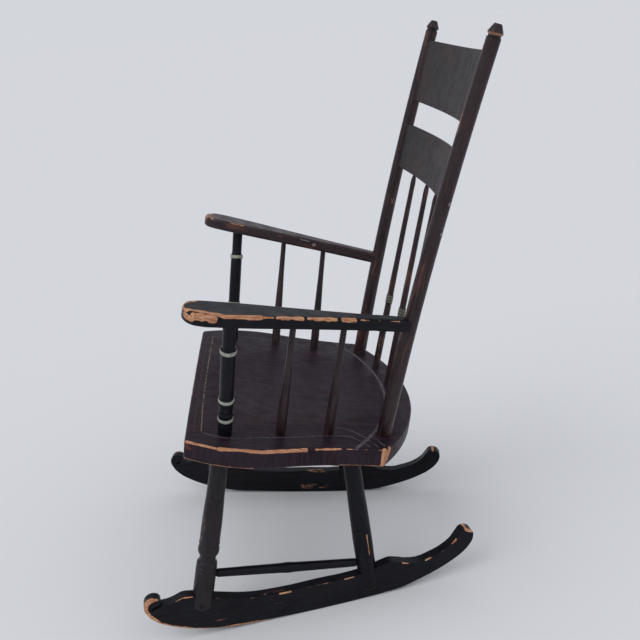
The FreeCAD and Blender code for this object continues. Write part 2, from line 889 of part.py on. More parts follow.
def arm_outline(length):
    rear, front, back = S["arm_rear_half"], S["arm_front_half"], S["arm_start"]
    half = [(rear, back, "sharp"), (rear + 3.5, 120), (rear + 10, 212), (front - 1.5, 300),
            (front, length - 53), (front - 0.7, length - 27), (front - 7, length - 10.5),
            (front * 0.36, length - 1.9)]
    other = [(-front * 0.36, length - 1.9), (7 - front, length - 10.5), (0.7 - front, length - 27),
             (-front, length - 53), (1.5 - front, 300), (-rear - 10, 212), (-rear - 3.5, 120),
             (-rear, back, "sharp")]
    return flowing(half + [(0, length)] + other)


def arm_arris(frame, length):
    half = val("arm_thickness") / 2
    inverse = frame.inverse()

    def chosen(edge):
        ends = [inverse.multVec(vertex.Point) for vertex in edge.Vertexes]
        level = all(abs(abs(point.z) - half) < 1e-4 for point in ends)
        upright = abs(ends[0].z - ends[-1].z) > 1
        at_rear = all(point.y < val("arm_start") + 1e-3 for point in ends)
        return level and not upright and not at_rear

    return chosen


arm_bodies = {}
for name, arm in arms.items():
    body = new_body("arm_blank_" + name,
                    arm.frame.multiply(Placement(Vector(0, 0, -val("arm_thickness") / 2), Rotation())))
    sketch = new_sketch(body, "arm_outline_" + name, "XY_Plane")
    length = cell("arm_length_" + name, arm.length)
    draw(sketch, arm_outline(length), tied=False)
    pad = body.newObject("PartDesign::Pad", "arm_pad_" + name)
    pad.Profile = sketch
    bind(pad, "Length", S["arm_thickness"])
    arm_bodies[name] = round_edges("arm_eased_" + name, body, S["arm_round"], arm_arris(arm.frame, arm.length))

    stile = stiles[name]
    share = stile.share_at(val("arm_joint_height"))
    stile_radius = stile.radius_at(share)
    forward = arm.frame.Rotation.multVec(Vector(0, 1, 0))
    way = stile.along(share)
    scribe = rod("arm_scribe_" + name, arm.joint - way * 60, arm.joint + way * 60,
                 stile_radius + val("fit"))
    arm_tools[name].append(scribe)
    shoulder = arm.joint + forward * stile_radius
    stile_tools[name].append(socket("arm_socket_" + name, shoulder, arm.joint, S["arm_tenon"],
                                    S["arm_tenon_depth"]))


# Turned uprights between the seat and the arms

def upright(label, name, foot, along_arm, stations, foot_radius, head_radius):
    """A turned piece from the seat to the underside of an arm: both ends are scribed to the face they meet,
    with a round tenon into each."""
    arm = arms[name]
    head = arm.under(along_arm)
    way = (head - foot).normalize()
    length = cell(label + "_length", (head - foot).Length)
    body = turned(label + "_turned", aim(foot, head), stations(length))
    low = SEAT.multiply(Placement(SEAT.inverse().multVec(foot) - Vector(0, 0, TRIM), Rotation()))
    high = arm.frame.multiply(Placement(arm.frame.inverse().multVec(head), Rotation()))
    scribed = cut(label + "_scribed", body, [block(label + "_foot_scribe", low, TRIM, TRIM, TRIM),
                                             block(label + "_head_scribe", high, TRIM, TRIM, TRIM)])
    foot_tenon = rod(label + "_foot_tenon", foot - way * val("seat_socket_depth"), foot + way * 8, foot_radius)
    head_tenon = rod(label + "_head_tenon", head - way * 8, head + way * val("arm_socket_depth"), head_radius)
    seat_tools.append(socket(label + "_seat_socket", foot, foot - way, foot_radius, S["seat_socket_depth"]))
    arm_tools[name].append(socket(label + "_arm_socket", head, head + way, head_radius, S["arm_socket_depth"]))
    pieces[label] = join(label, [scribed, foot_tenon, head_tenon])


def post_stations(length):
    r = S["post_radius"]
    return [
        (-10, r - 0.4, 0),
        (22, r + 0.3, 0),
        (29, r - 0.7, 0),
        (32.5, r - 0.2, 0),
        (34.5, r + 0.8, 0.4),
        (40.5, r + 0.8, 0),
        (42.5, r - 0.6, 0),
        (44.5, r + 0.5, 0.5),
        (50, r + 0.4, 0),
        (52, r - 1.0, -0.3),
        (58, r - 0.4, 0),
        (68, r - 0.5, 0),
        (69.5, r + 0.3, 0.4),
        (73, r + 0.2, 0),
        (74.5, r - 0.7, 0),
        (76.5, r + 0.8, 0.5),
        (83, r + 0.8, 0),
        (85, r - 0.5, 0),
        (130, r - 0.3, 0),
        (176, r - 0.5, 0),
        (179, r - 1.1, 0),
        (181, r + 1.0, 0.5),
        (188.5, r + 1.0, 0),
        (190.5, r - 1.2, 0),
        (195, r - 2.1, 0),
        (length + 10, r - 1.9, 0),
    ]


def arm_spindle_stations(length):
    r = S["arm_spindle_radius"]
    return [
        (-10, r - 1.3, 0),
        (12, r - 0.5, 0),
        (31, r - 0.2, 0),
        (76, r - 1.0, 0),
        (162, r - 3.4, 0),
        (length + 10, r - 4.1, 0),
    ]


for name, side in SIDES.items():
    upright("arm_post_" + name, name, on_seat(side * val("post_foot_x"), -val("post_foot_ahead")),
            val("post_along_arm"), post_stations, S["post_tenon"], S["post_tenon"])
    for which, foot in (
        ("front", on_seat(side * val("spindle_foot_x_front"), -val("spindle_foot_ahead_front"))),
        ("rear", on_seat(side * val("spindle_foot_x_rear"), val("spindle_foot_behind_rear"))),
    ):
        upright("arm_spindle_%s_%s" % (which, name), name, foot, val("spindle_along_arm_" + which),
                arm_spindle_stations, S["arm_spindle_top"] + 0.8, S["arm_spindle_top"] - 1.0)

for name, arm in arms.items():
    forward = arm.frame.Rotation.multVec(Vector(0, 1, 0))
    stile_radius = stiles[name].radius_at(stiles[name].share_at(val("arm_joint_height")))
    shaped = cut("arm_shaped_" + name, arm_bodies[name], arm_tools[name])
    start = arm.joint + forward * (stile_radius - val("arm_tenon_depth"))
    tenon = rod("arm_tenon_" + name, start, arm.joint + forward * (stile_radius + 14), S["arm_tenon"])
    pieces["arm_" + name] = join("arm_" + name, [shaped, tenon])


# Back spindles from the seat to the lower slat

def back_spindle_stations(length):
    r = S["back_spindle_radius"]
    neck = S["back_spindle_neck"]
    return [
        (-10, r - 0.1, 0),
        (110, r - 0.2, 0),
        (147, r - 0.9, 0),
        (151, r, 0.3),
        (155, r, 0),
        (156, r - 0.5, 0),
        (157, r, 0.3),
        (160.5, r, 0),
        (161.5, r - 0.5, 0),
        (162.5, r, 0.3),
        (166, r, 0),
        (170, r - 1.1, 0.2),
        (239, neck, 0.1),
        (length - 24, neck - 0.8, 1.0),
        (length, S["back_spindle_tip"], 0),
        (length + S["back_spindle_tip_depth"], S["back_spindle_tip"], 0),
    ]


lower = SLATS["lower_slat"]
slat_holes = []
for index in range(4):
    step = 1.5 - index
    label = "back_spindle_%d" % (index + 1)
    foot_x = step * val("back_spindle_foot_pitch")
    bend = 390.0
    foot_y = val("back_spindle_foot_behind") + 18 - (bend - math.sqrt(bend ** 2 - foot_x ** 2))
    foot = on_seat(foot_x, foot_y)
    head = lower.under_edge(step * val("back_spindle_head_pitch"), 0)
    way = (head - foot).normalize()
    length = cell(label + "_length", (head - foot).Length)
    body = turned(label + "_turned", aim(foot, head), back_spindle_stations(length))
    low = SEAT.multiply(Placement(SEAT.inverse().multVec(foot) - Vector(0, 0, TRIM), Rotation()))
    scribed = cut(label + "_scribed", body, [block(label + "_foot_scribe", low, TRIM, TRIM, TRIM)])
    tenon_radius = S["back_spindle_radius"] - 1.6
    tenon = rod(label + "_tenon", foot - way * val("seat_socket_depth"), foot + way * 8, tenon_radius)
    pieces[label] = join(label, [scribed, tenon])
    seat_tools.append(socket(label + "_seat_socket", foot, foot - way, tenon_radius, S["seat_socket_depth"]))
    slat_holes.append(socket(label + "_slat_socket", head, head + way, S["back_spindle_tip"],
                             S["back_spindle_tip_depth"]))

for label in SLATS:
    board, ends = pieces[label]
    pieces[label] = cut(label, board, ends + (slat_holes if label == "lower_slat" else []))

for name, stile in stiles.items():
    label = "back_post_" + name
    way = stile.along(0.0)
    full = join(label + "_turned", [stile_shafts[name], stile_finials[name]])
    low = SEAT.multiply(Placement(SEAT.inverse().multVec(stile.seated) - Vector(0, 0, TRIM), Rotation()))
    scribe = block(label + "_foot_scribe", low, TRIM, TRIM, TRIM)
    shaped = cut(label + "_shaped", full, [scribe] + stile_tools[name])
    tenon = rod(label + "_tenon", stile.seated - way * val("seat_socket_depth"), stile.seated + way * 12,
                S["stile_tenon"])
    pieces[label] = join(label, [shaped, tenon])
    seat_tools.append(socket(label + "_seat_socket", stile.seated, stile.seated - way, S["stile_tenon"],
                             S["seat_socket_depth"]))


# Seat plank

plank = new_body("seat_plank", SEAT.multiply(Placement(Vector(0, 0, -val("seat_thickness")), Rotation())))
outline = new_sketch(plank, "seat_outline", "XY_Plane")
front_y = S["seat_front_reach"] * -1
corner_x, corner_y = S["seat_corner_half"], S["seat_corner_behind"]
waist_x, waist_y = S["seat_waist_half"], S["seat_waist_ahead"] * -1
swell, hollow = S["seat_side_swell"], S["seat_side_hollow"] * -1
rear_bow = S["seat_back_reach"] - S["seat_corner_behind"]
draw(outline, [
    (S["seat_front_half"], front_y, swell),
    (waist_x, waist_y, hollow),
    (corner_x, corner_y, rear_bow),
    (corner_x * -1, corner_y, hollow),
    (waist_x * -1, waist_y, swell),
    (S["seat_front_half"] * -1, front_y, S["seat_front_bow"]),
])
pad = plank.newObject("PartDesign::Pad", "seat_pad")
pad.Profile = outline
bind(pad, "Length", S["seat_thickness"])


def seat_corner(edge):
    """Upright edges at the four corners, not the smooth joints of the side arcs."""
    ends = [SEAT.inverse().multVec(vertex.Point) for vertex in edge.Vertexes]
    return abs(ends[0].z - ends[-1].z) > 1 and abs(ends[0].y + val("seat_waist_ahead")) > 1


def seat_rim(level):
    def chosen(edge):
        ends = [SEAT.inverse().multVec(vertex.Point) for vertex in edge.Vertexes]
        return all(abs(point.z - level) < 1e-4 for point in ends)

    return chosen


corners_eased = round_edges("seat_corners", plank, S["seat_corner_round"], seat_corner)
top_eased = round_edges("seat_top_rim", corners_eased, S["seat_top_round"], seat_rim(0))
rim_eased = round_edges("seat_under_rim", top_eased, S["seat_under_round"], seat_rim(-val("seat_thickness")))

dish = doc.addObject("Part::Sphere", "seat_dish")
dish_ball = (S["dish_radius"] * S["dish_radius"] + S["dish_depth"] * S["dish_depth"]) / (S["dish_depth"] * 2)
bind(dish, "Radius", dish_ball)
dish_centre = Vector(0, -val("dish_ahead"), dish_ball.value - val("dish_depth"))
dish.Placement = SEAT.multiply(Placement(dish_centre, Rotation()))

gutter = doc.addObject("Part::Torus", "seat_gutter")
bind(gutter, "Radius1", S["gutter_bend"])
bind(gutter, "Radius2", S["gutter_tool"])
gutter.Angle3 = val("gutter_sweep")
gutter_turn = Rotation(Vector(0, 0, 1), 90 - val("gutter_sweep") / 2)
gutter_centre = Vector(0, val("gutter_behind") - val("gutter_bend"), val("gutter_tool") - val("gutter_depth"))
gutter.Placement = SEAT.multiply(Placement(gutter_centre, gutter_turn))
pieces["seat"] = cut("seat", rim_eased, seat_tools + [dish, gutter])

doc.recompute()


# The whole chair is moved so that the middle of its footprint is at the origin

boxes = [piece.Shape.optimalBoundingBox(False, False) for piece in pieces.values()]
middle_x = (min(box.XMin for box in boxes) + max(box.XMax for box in boxes)) / 2
middle_y = (min(box.YMin for box in boxes) + max(box.YMax for box in boxes)) / 2
floor = min(box.ZMin for box in boxes)
shift = Placement(Vector(-middle_x, -middle_y, -floor), Rotation())
for piece in pieces.values():
    piece.Placement = shift.multiply(piece.Placement)
doc.recompute()

faults = [item.Name for item in doc.Objects if "Invalid" in item.State or "Error" in item.State]
for label, piece in pieces.items():
    if piece.Shape.isNull() or not piece.Shape.isValid():
        faults.append(label)
if faults:
    raise RuntimeError("not sound: " + ", ".join(faults))

os.makedirs("parts", exist_ok=True)
for label, piece in sorted(pieces.items()):
    piece.Shape.exportStep("parts/%s.step" % label)
    box = piece.Shape.optimalBoundingBox(False, False)
    print("%-26s solids %d volume %.0f  x %.1f..%.1f y %.1f..%.1f z %.1f..%.1f" % (
        label, len(piece.Shape.Solids), piece.Shape.Volume, box.XMin, box.XMax, box.YMin, box.YMax,
        box.ZMin, box.ZMax))
print("shift", shift.Base)
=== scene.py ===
import math

import bpy
from mathutils import Matrix, Vector


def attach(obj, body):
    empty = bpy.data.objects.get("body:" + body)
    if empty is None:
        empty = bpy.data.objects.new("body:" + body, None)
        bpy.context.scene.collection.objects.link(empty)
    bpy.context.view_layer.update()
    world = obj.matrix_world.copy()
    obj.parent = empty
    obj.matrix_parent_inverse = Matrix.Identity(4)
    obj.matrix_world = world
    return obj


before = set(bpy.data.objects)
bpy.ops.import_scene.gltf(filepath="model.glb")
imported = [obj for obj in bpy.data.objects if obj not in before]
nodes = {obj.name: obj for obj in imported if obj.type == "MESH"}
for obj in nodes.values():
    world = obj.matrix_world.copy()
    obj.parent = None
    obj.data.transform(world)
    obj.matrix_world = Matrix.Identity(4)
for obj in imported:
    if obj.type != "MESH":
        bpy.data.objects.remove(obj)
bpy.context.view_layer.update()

# A painted rocking chair. The solids keep their shapes; here they get their old paint, the turner's painted
# rings, the seat's striping and the wear of long use. Metres, chair facing -Y, left side at +X.


# Drawing materials with nodes

class Desk:
    """Lays out the nodes of one tree. Numbers, vectors and sockets may be mixed as inputs."""

    def __init__(self, tree):
        self.tree = tree

    def add(self, kind, **settings):
        node = self.tree.nodes.new(kind)
        for name, value in settings.items():
            setattr(node, name, value)
        return node

    def feed(self, socket, value):
        if isinstance(value, bpy.types.NodeSocket):
            self.tree.links.new(value, socket)
        elif value is not None:
            socket.default_value = value

    def maths(self, operation, *values, clamp=False):
        node = self.add("ShaderNodeMath", operation=operation, use_clamp=clamp)
        for socket, value in zip(node.inputs, values):
            self.feed(socket, value)
        return node.outputs[0]

    def vectors(self, operation, *values, scale=None):
        node = self.add("ShaderNodeVectorMath", operation=operation)
        for socket, value in zip(node.inputs, values):
            self.feed(socket, value)
        if scale is not None:
            self.feed(node.inputs["Scale"], scale)
        alone = operation in ("DOT_PRODUCT", "LENGTH", "DISTANCE")
        return node.outputs["Value" if alone else "Vector"]

    def mix(self, share, first, second, blend="MIX"):
        node = self.add("ShaderNodeMix", data_type="RGBA", blend_type=blend)
        self.feed(node.inputs[0], share)
        self.feed(node.inputs[6], first)
        self.feed(node.inputs[7], second)
        return node.outputs[2]

    def ease(self, value, low, high, start=0.0, end=1.0):
        """Runs smoothly from start to end as the value goes from low to high."""
        node = self.add("ShaderNodeMapRange", interpolation_type="SMOOTHSTEP")
        for label, entry in (("Value", value), ("From Min", low), ("From Max", high), ("To Min", start),
                             ("To Max", end)):
            self.feed(node.inputs[label], entry)
        return node.outputs[0]

    def clouds(self, place, scale, detail=3.0, roughness=0.5, distortion=0.0):
        node = self.add("ShaderNodeTexNoise")
        for label, entry in (("Vector", place), ("Scale", scale), ("Detail", detail),
                             ("Roughness", roughness), ("Distortion", distortion)):
            self.feed(node.inputs[label], entry)
        return node.outputs[0]

    def use(self, tree, **values):
        """Places an effect; each input is named with _ for a space."""
        node = self.add("ShaderNodeGroup", node_tree=tree)
        for name, value in values.items():
            self.feed(node.inputs[name.replace("_", " ")], value)
        return node.outputs


KINDS = {"number": "NodeSocketFloat", "vector": "NodeSocketVector", "colour": "NodeSocketColor"}


def effect(name, takes, gives, build):
    """A node group: takes and gives list its sockets, build(desk, inputs) returns what goes out."""
    tree = bpy.data.node_groups.new(name, "ShaderNodeTree")
    for label, kind, value in takes:
        socket = tree.interface.new_socket(name=label, in_out="INPUT", socket_type=KINDS[kind])
        if value is not None:
            socket.default_value = value
    for label, kind in gives:
        tree.interface.new_socket(name=label, in_out="OUTPUT", socket_type=KINDS[kind])
    desk = Desk(tree)
    inputs = desk.add("NodeGroupInput").outputs
    results = build(desk, inputs)
    out = desk.add("NodeGroupOutput")
    for label, _ in gives:
        desk.feed(out.inputs[label], results[label])
    return tree


def build_lie(desk, taken):
    place = desk.add("ShaderNodeTexCoord").outputs["Object"]
    offset = desk.vectors("SUBTRACT", place, taken["Foot"])
    along = desk.vectors("DOT_PRODUCT", offset, taken["Axis"])
    lengthwise = desk.vectors("SCALE", taken["Axis"], scale=along)
    aside = desk.vectors("SUBTRACT", offset, lengthwise)
    short = desk.vectors("SCALE", lengthwise, scale=taken["Squeeze"])
    grain = desk.vectors("ADD", aside, short)
    return {"Along": along, "Grain": desk.vectors("ADD", grain, taken["Foot"])}


LIE = effect(
    "lie_of_the_piece",
    [("Foot", "vector", None), ("Axis", "vector", (0, 0, 1)), ("Squeeze", "number", 0.1)],
    [("Along", "number"), ("Grain", "vector")], build_lie)


def build_ring(desk, taken):
    away = desk.maths("ABSOLUTE", desk.maths("SUBTRACT", taken["Along"], taken["Centre"]))
    place = desk.add("ShaderNodeTexCoord").outputs["Object"]
    shaky = desk.maths("MULTIPLY", desk.maths("SUBTRACT", desk.clouds(place, 260.0, 2.0), 0.5), 0.0016)
    band = desk.ease(desk.maths("ADD", away, shaky), desk.maths("ADD", taken["Half Width"], 0.0004),
                     desk.maths("SUBTRACT", taken["Half Width"], 0.0004))
    rubbed = desk.ease(desk.clouds(place, 420.0, 3.0, 0.65), 0.36, 0.5, 0.35, 1.0)
    return {"Mask": desk.maths("MULTIPLY", band, rubbed)}


RING = effect(
    "painted_ring",
    [("Along", "number", None), ("Centre", "number", 0.1), ("Half Width", "number", 0.003)],
    [("Mask", "number")], build_ring)


def build_chip(desk, taken):
    place = desk.add("ShaderNodeTexCoord").outputs["Object"]
    reach = desk.vectors("SUBTRACT", taken["End"], taken["Start"])
    offset = desk.vectors("SUBTRACT", place, taken["Start"])
    share = desk.maths("DIVIDE", desk.vectors("DOT_PRODUCT", offset, reach),
                       desk.vectors("DOT_PRODUCT", reach, reach), clamp=True)
    nearest = desk.vectors("SCALE", reach, scale=share)
    away = desk.vectors("DISTANCE", offset, nearest)
    coarse = desk.maths("SUBTRACT", desk.clouds(place, 75.0, 4.0, 0.6), 0.5)
    torn = desk.maths("MULTIPLY_ADD", coarse, taken["Ragged"], away)
    edge = desk.maths("ADD", taken["Width"], 0.0003)
    return {"Mask": desk.ease(torn, edge, desk.maths("SUBTRACT", taken["Width"], 0.0003))}


CHIP = effect(
    "chip",
    [("Start", "vector", None), ("End", "vector", None), ("Width", "number", 0.004),
     ("Ragged", "number", 0.012)],
    [("Mask", "number")], build_chip)


def build_nick(desk, taken):
    place = desk.add("ShaderNodeTexCoord").outputs["Object"]
    sparse = desk.ease(desk.clouds(taken["Grain"], 46.0, 2.0, 0.4), 0.63, 0.69)
    torn = desk.ease(desk.clouds(taken["Grain"], 330.0, 3.0, 0.7), 0.52, 0.58)
    zone = desk.ease(desk.clouds(place, 13.0, 2.0), desk.maths("SUBTRACT", 1.0, taken["Amount"]),
                     desk.maths("SUBTRACT", 1.08, taken["Amount"]))
    return {"Mask": desk.maths("MULTIPLY", desk.maths("MULTIPLY", sparse, torn), zone)}


NICK = effect("nicks", [("Grain", "vector", None), ("Amount", "number", 0.5)], [("Mask", "number")], build_nick)


def build_paint(desk, taken):
    place = desk.add("ShaderNodeTexCoord").outputs["Object"]
    streaks = desk.clouds(taken["Grain"], 210.0, 5.0, 0.62, 0.3)
    fine = desk.clouds(taken["Grain"], 620.0, 3.0, 0.6)
    patches = desk.clouds(place, 13.0, 4.0, 0.55)
    rubbed = desk.clouds(taken["Grain"], 88.0, 5.0, 0.6, 0.4)
    colour = desk.mix(desk.ease(streaks, 0.42, 0.62), taken["Ground"], taken["Streak"])
    colour = desk.mix(desk.maths("MULTIPLY", desk.ease(patches, 0.42, 0.62), taken["Bloom Share"]), colour,
                      taken["Bloom"])
    zone = desk.maths("MULTIPLY", desk.ease(patches, 0.60, 0.42), taken["Rub Share"])
    colour = desk.mix(desk.maths("MULTIPLY", desk.ease(rubbed, 0.52, 0.66), zone), colour, taken["Rub"])
    dirt = desk.ease(fine, 0.30, 0.62, 0.70, 1.15)
    grey = desk.add("ShaderNodeCombineXYZ")
    for socket in grey.inputs:
        desk.feed(socket, dirt)
    colour = desk.mix(1.0, colour, grey.outputs[0], "MULTIPLY")
    gloss = desk.ease(desk.clouds(place, 38.0, 5.0, 0.6), 0.3, 0.7, taken["Smoothest"], taken["Roughest"])
    relief = desk.maths("MULTIPLY_ADD", streaks, 0.6, desk.maths("MULTIPLY", fine, 0.4))
    return {"Colour": colour, "Gloss": gloss, "Relief": relief}


PAINT = effect(
    "old_paint",
    [("Grain", "vector", None), ("Ground", "colour", (0.04, 0.02, 0.02, 1)),
     ("Streak", "colour", (0.01, 0.01, 0.01, 1)), ("Bloom", "colour", (0.08, 0.08, 0.08, 1)),
     ("Bloom Share", "number", 0.3), ("Rub", "colour", (0.1, 0.04, 0.03, 1)), ("Rub Share", "number", 0.0),
     ("Smoothest", "number", 0.3), ("Roughest", "number", 0.5)],
    [("Colour", "colour"), ("Gloss", "number"), ("Relief", "number")], build_paint)


def build_wood(desk, taken):
    grain = desk.clouds(taken["Grain"], 480.0, 4.0, 0.6)
    tone = desk.clouds(taken["Grain"], 60.0, 2.0)
    colour = desk.mix(desk.ease(grain, 0.36, 0.64), (0.30, 0.125, 0.060, 1), (0.66, 0.36, 0.21, 1))
    colour = desk.mix(desk.ease(tone, 0.35, 0.7, 0.0, 0.55), colour, (0.40, 0.175, 0.095, 1))
    return {"Colour": colour}


WOOD = effect("bare_wood", [("Grain", "vector", None)], [("Colour", "colour")], build_wood)


def build_hoop(desk, taken):
    place = desk.add("ShaderNodeTexCoord").outputs["Object"]
    offset = desk.vectors("SUBTRACT", place, taken["Centre"])
    rise = desk.vectors("DOT_PRODUCT", offset, taken["Up"])
    flat = desk.vectors("SUBTRACT", offset, desk.vectors("SCALE", taken["Up"], scale=rise))
    away = desk.maths("ABSOLUTE", desk.maths("SUBTRACT", desk.vectors("LENGTH", flat), taken["Radius"]))
    line = desk.ease(away, desk.maths("ADD", taken["Half Width"], 0.0004),
                     desk.maths("SUBTRACT", taken["Half Width"], 0.0004))
    on_top = desk.ease(rise, -0.004, -0.002)
    behind = desk.ease(desk.vectors("DOT_PRODUCT", offset, (0, 1, 0)), 0.30, 0.31)
    worn = desk.ease(desk.clouds(place, 190.0, 4.0, 0.6), 0.36, 0.52, 0.35, 1.0)
    band = desk.maths("MULTIPLY", desk.maths("MULTIPLY", line, on_top), desk.maths("MULTIPLY", worn, behind))
    return {"Mask": band}


HOOP = effect(
    "painted_groove",
    [("Centre", "vector", None), ("Up", "vector", (0, 0, 1)), ("Radius", "number", 0.4),
     ("Half Width", "number", 0.002)],
    [("Mask", "number")], build_hoop)


# Finishes: ground colour, streaks over it, pale bloom where hands and weather dulled it, and the lighter
# undercoat where the top coat is rubbed thin

OXBLOOD = {"ground": (0.026, 0.0115, 0.012), "streak": (0.008, 0.0052, 0.0065), "bloom": (0.036, 0.020, 0.024),
           "bloom_share": 0.5, "rub": (0.110, 0.044, 0.034), "rub_share": 0.75, "gloss": (0.30, 0.46),
           "sheen": 0.30}
SEAT_PAINT = {"ground": (0.026, 0.0150, 0.0235), "streak": (0.0125, 0.0080, 0.0120),
              "bloom": (0.030, 0.0195, 0.029), "bloom_share": 0.55, "rub": (0.050, 0.020, 0.024),
              "rub_share": 0.55, "gloss": (0.36, 0.52), "sheen": 0.10}
CHARCOAL = {"ground": (0.0060, 0.0062, 0.0095), "streak": (0.0032, 0.0034, 0.0052),
            "bloom": (0.0105, 0.0105, 0.0155), "bloom_share": 0.45, "rub": (0.018, 0.011, 0.012),
            "rub_share": 0.4, "gloss": (0.28, 0.42), "sheen": 0.14}
BROWN_LEG = {"ground": (0.0150, 0.0110, 0.0145), "streak": (0.0070, 0.0060, 0.0082),
             "bloom": (0.0240, 0.0170, 0.0225), "bloom_share": 0.4, "rub": (0.040, 0.020, 0.019),
             "rub_share": 0.55, "gloss": (0.30, 0.44), "sheen": 0.24}
SLAT_PAINT = {"ground": (0.036, 0.034, 0.037), "streak": (0.030, 0.026, 0.027), "bloom": (0.047, 0.034, 0.034),
              "bloom_share": 0.85, "rub": (0.052, 0.052, 0.047), "rub_share": 0.35, "gloss": (0.46, 0.62),
              "sheen": 0.16}
CREAM = (0.36, 0.37, 0.31, 1)
OLIVE = (0.125, 0.130, 0.092, 1)
DARK_BAND = (0.004, 0.004, 0.005, 1)
LINE_GREY = (0.105, 0.092, 0.105, 1)
LINE_TAN = (0.190, 0.120, 0.090, 1)
LINE_BROWN = (0.050, 0.026, 0.027, 1)
LINE_WORN = (0.030, 0.019, 0.028, 1)


def four(colour):
    return tuple(colour) + (1.0,)


def finish(name, look, foot, head, squeeze=0.10, rings=(), chips=(), marks=(), nicks=0.0, top_side=None,
           groove=None):
    """Paints one solid whose grain runs from foot to head. Rings are (distance from the foot, half width,
    colour). Chips are (start, end, width, ragged) runs of bare wood, and marks are the same with a colour.
    nicks is how much small damage it has. Faces that look away from top_side have their grain that way
    instead. groove is (centre, up, radius, half width, colour) of a painted circle."""
    material = bpy.data.materials.new(name + "_finish")
    material.use_nodes = True
    desk = Desk(material.node_tree)
    shader = material.node_tree.nodes["Principled BSDF"]
    foot, head = Vector(foot), Vector(head)
    axis = (head - foot).normalized()
    lie = desk.use(LIE, Foot=tuple(foot), Axis=tuple(axis), Squeeze=squeeze)
    grain = lie["Grain"]
    if top_side is not None:
        upright = desk.use(LIE, Foot=tuple(foot), Axis=tuple(top_side), Squeeze=squeeze)
        normal = desk.add("ShaderNodeNewGeometry").outputs["Normal"]
        lean = desk.vectors("DOT_PRODUCT", normal, tuple(top_side))
        flat = desk.ease(desk.maths("ABSOLUTE", lean), 0.55, 0.75)
        blend = desk.add("ShaderNodeMix", data_type="VECTOR")
        desk.feed(blend.inputs[0], flat)
        desk.feed(blend.inputs[4], upright["Grain"])
        desk.feed(blend.inputs[5], grain)
        grain = blend.outputs[1]
    paint = desk.use(PAINT, Grain=grain, Ground=four(look["ground"]), Streak=four(look["streak"]),
                     Bloom=four(look["bloom"]), Bloom_Share=look["bloom_share"], Rub=four(look["rub"]),
                     Rub_Share=look["rub_share"], Smoothest=look["gloss"][0], Roughest=look["gloss"][1])
    colour = paint["Colour"]
    for centre, half, tint in rings:
        band = desk.use(RING, Along=lie["Along"], Centre=centre, Half_Width=half)
        colour = desk.mix(band["Mask"], colour, tint)
    if groove is not None:
        centre, up, radius, half, tint = groove
        line = desk.use(HOOP, Centre=tuple(centre), Up=tuple(up), Radius=radius, Half_Width=half)
        colour = desk.mix(line["Mask"], colour, tint)
    for start, end, width, ragged, tint in marks:
        mark = desk.use(CHIP, Start=tuple(start), End=tuple(end), Width=width, Ragged=ragged)
        colour = desk.mix(mark["Mask"], colour, tint)
    masks = [desk.use(CHIP, Start=tuple(start), End=tuple(end), Width=width, Ragged=ragged)["Mask"]
             for start, end, width, ragged in chips]
    if nicks > 0:
        masks.append(desk.use(NICK, Grain=grain, Amount=nicks)["Mask"])
    gloss, relief = paint["Gloss"], paint["Relief"]
    if masks:
        bare = masks[0]
        for mask in masks[1:]:
            bare = desk.maths("MAXIMUM", bare, mask)
        wood = desk.use(WOOD, Grain=grain)
        colour = desk.mix(bare, colour, wood["Colour"])
        gloss = desk.maths("MULTIPLY_ADD", bare, 0.3, gloss)
        relief = desk.maths("SUBTRACT", relief, desk.maths("MULTIPLY", bare, 0.8))
    bump = desk.add("ShaderNodeBump")
    bump.inputs["Strength"].default_value = 0.35
    bump.inputs["Distance"].default_value = 0.0005
    desk.feed(bump.inputs["Height"], relief)
    desk.feed(shader.inputs["Base Color"], colour)
    desk.feed(shader.inputs["Roughness"], gloss)
    desk.feed(shader.inputs["Normal"], bump.outputs["Normal"])
    shader.inputs["Specular IOR Level"].default_value = look["sheen"]
    return material


def dress(node, material):
    """Gives a solid its material."""
    mesh = nodes[node].data
    mesh.materials.clear()
    mesh.materials.append(material)


# The chair's own frames: where each piece stands and how it leans

SIDES = {"left": 1, "right": -1}
FORWARD_SHIFT = -0.005408
SEAT_THICKNESS = 0.036
SEAT_TILT, SEAT_HEIGHT = math.radians(10.8), 0.380
SEAT = Matrix.Translation((0, FORWARD_SHIFT - 0.004, SEAT_HEIGHT)) @ Matrix.Rotation(-SEAT_TILT, 4, "X")
SEAT_UP = SEAT.to_3x3() @ Vector((0, 0, 1))
STILE_BOW, ARM_HEIGHT, ARM_ROLL = 0.008, 0.5698, math.radians(5.0)
ARM_HALF_THICKNESS, ARM_LENGTH = 0.011, 0.395


def on_seat(x, y, z=0.0):
    return SEAT @ Vector((x, y, z))


def under_seat(x, y):
    return on_seat(x, y, -SEAT_THICKNESS)


def stile_at(side, share):
    """Point of a stile's centre line at a share of its length; the middle bows forwards."""
    top = Vector((side * 0.228, 0.3235 + FORWARD_SHIFT, 1.026))
    seated = on_seat(side * 0.188, 0.137)
    way = (top - seated).normalized()
    foot = seated - way * 0.010
    rear = (Vector((0, 1, 0)) - way * way.y).normalized()
    return foot.lerp(top, share) - rear * 4 * STILE_BOW * share * (1 - share)


def stile_at_height(side, height):
    low, high = 0.0, 1.0
    for _ in range(30):
        middle = (low + high) / 2
        low, high = (middle, high) if stile_at(side, middle).z < height else (low, middle)
    return stile_at(side, low)


def arm_frame(side):
    """Frame of an arm: y forwards along it, x towards -X, z up out of its top; the outer edge is lower."""
    joint = stile_at_height(side, ARM_HEIGHT)
    tip = Vector((side * 0.3024, -0.1835 + FORWARD_SHIFT, 0.6695))
    forward = (tip - joint).normalized()
    across = forward.cross(Vector((0, 0, 1))).normalized()
    turn = Matrix((across, forward, across.cross(forward))).transposed()
    return Matrix.Translation(joint) @ (turn @ Matrix.Rotation(-side * ARM_ROLL, 3, "Y")).to_4x4()


